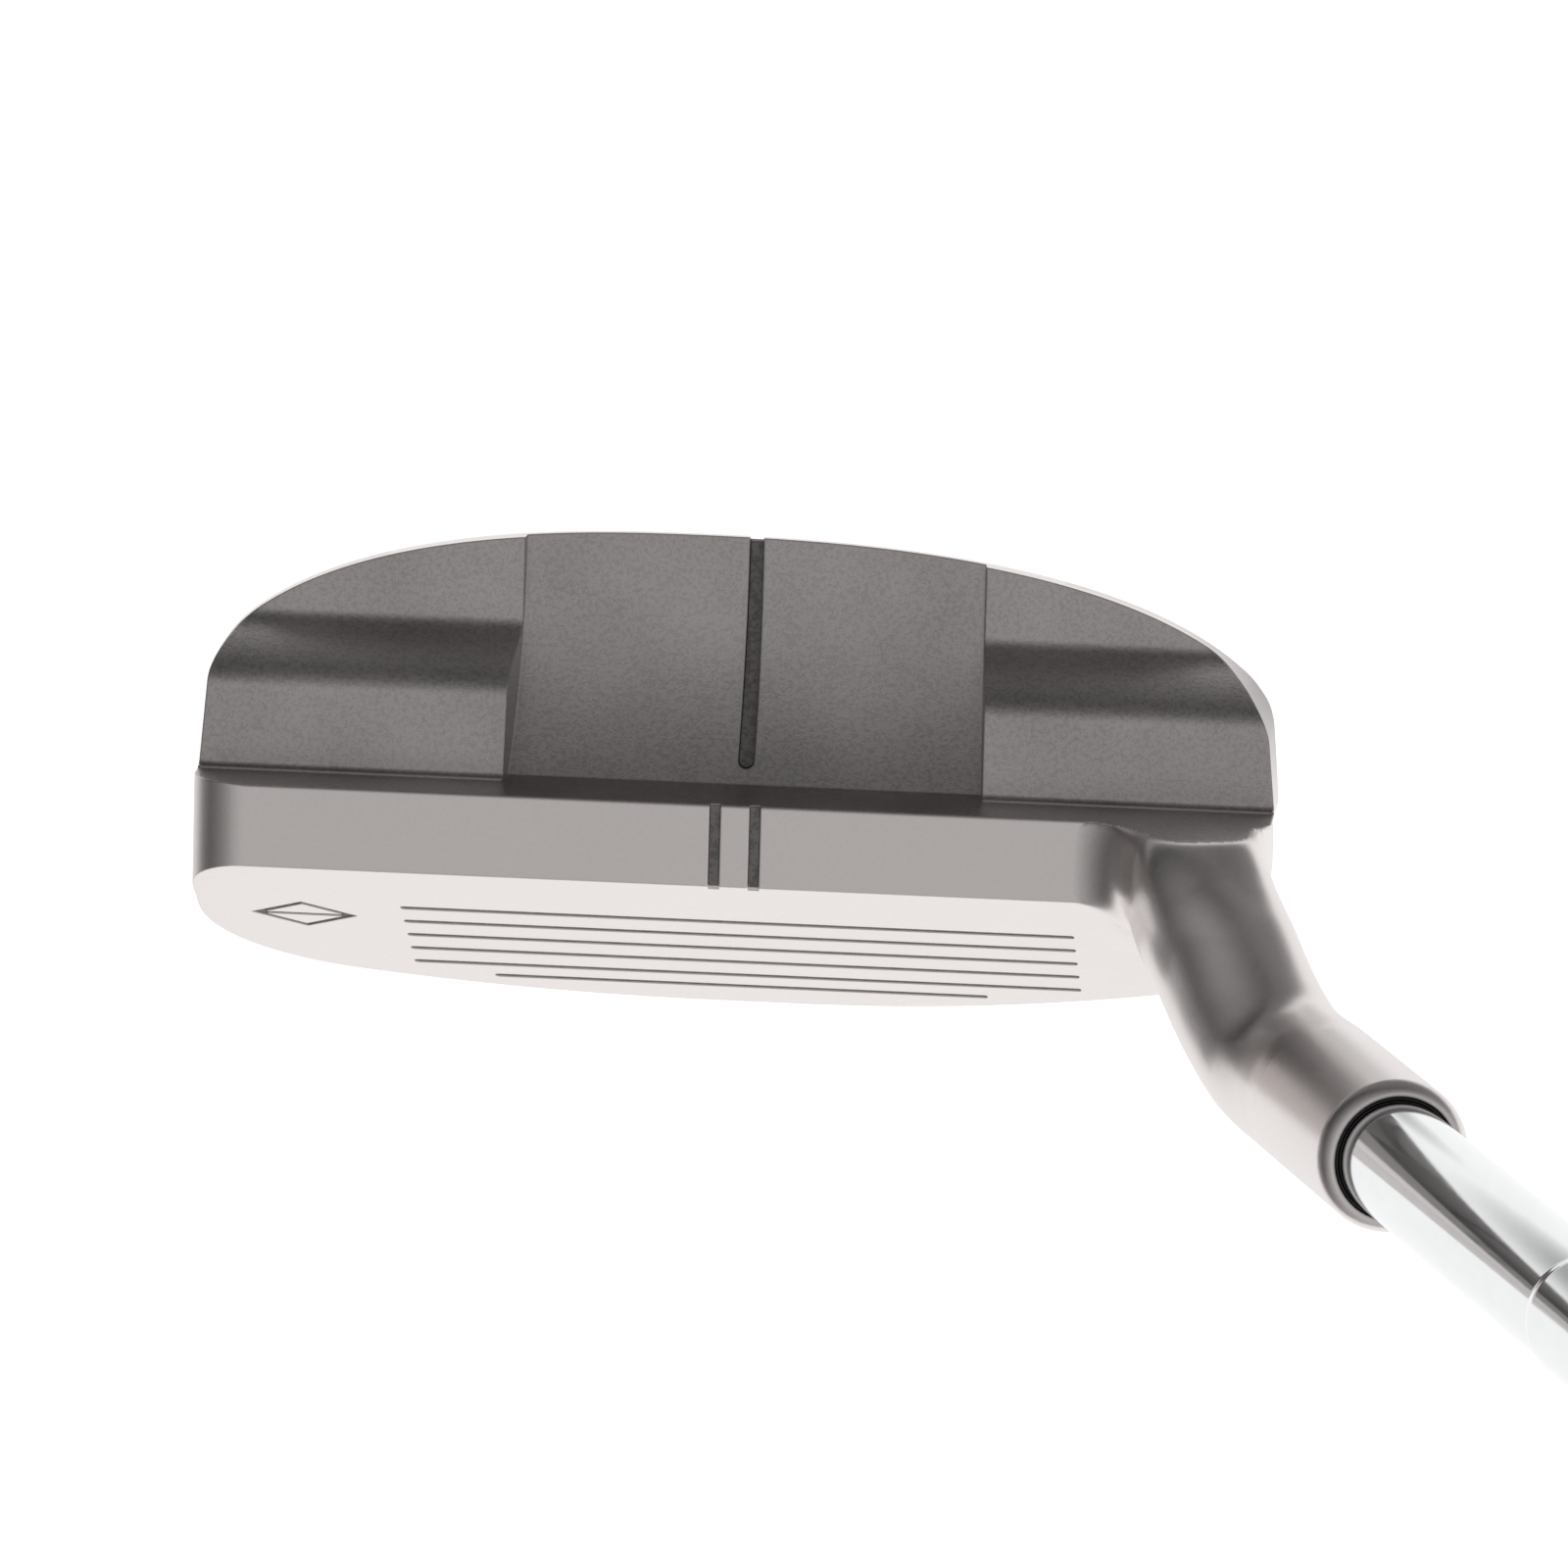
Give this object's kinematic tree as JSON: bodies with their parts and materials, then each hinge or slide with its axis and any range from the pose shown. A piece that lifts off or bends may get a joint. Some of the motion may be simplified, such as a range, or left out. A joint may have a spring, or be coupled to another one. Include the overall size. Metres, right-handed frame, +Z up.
{
  "type": "golf putter",
  "caption": "Right-handed golf putter with a lofted scored face, a winged flange with sight lines, an offset hosel on the heel, a stepped steel shaft and a round rubber grip.",
  "frame": {"origin": "on the flat of the sole, under the middle of the topline's front edge, so Z = 0 is the ground with the club soled at address", "axes": "+X from the toe to the heel, +Y from the face to the rear of the head, +Z up; the ball leaves along -Y"},
  "size_m": [0.3806, 0.051, 0.8449],
  "materials": {
    "head_steel": "cast stainless steel: brushed topline, satin face and hosel, dark bead-blasted flange",
    "mark_paint": "black enamel wiped into the grooves",
    "shaft_chrome": "polished chrome plate",
    "shaft_epoxy": "black shafting epoxy",
    "grip_tape": "masking-paper grip tape",
    "grip_rubber": "moulded matt rubber",
    "cap_rubber": "moulded matt rubber, harder than the grip"
  },
  "bodies": {
    "root": {"head_casting": "head_steel", "score_line_fill_1": "mark_paint", "score_line_fill_2": "mark_paint", "score_line_fill_3": "mark_paint", "score_line_fill_4": "mark_paint", "score_line_fill_5": "mark_paint", "score_line_fill_6": "mark_paint", "topline_mark_fill_toe": "mark_paint", "topline_mark_fill_heel": "mark_paint", "sight_line_fill": "mark_paint", "emblem_fill": "mark_paint", "shaft": "shaft_chrome", "shaft_adhesive": "shaft_epoxy", "grip_tape": "grip_tape", "grip": "grip_rubber", "grip_cap": "cap_rubber"}
  },
  "joints": []
}
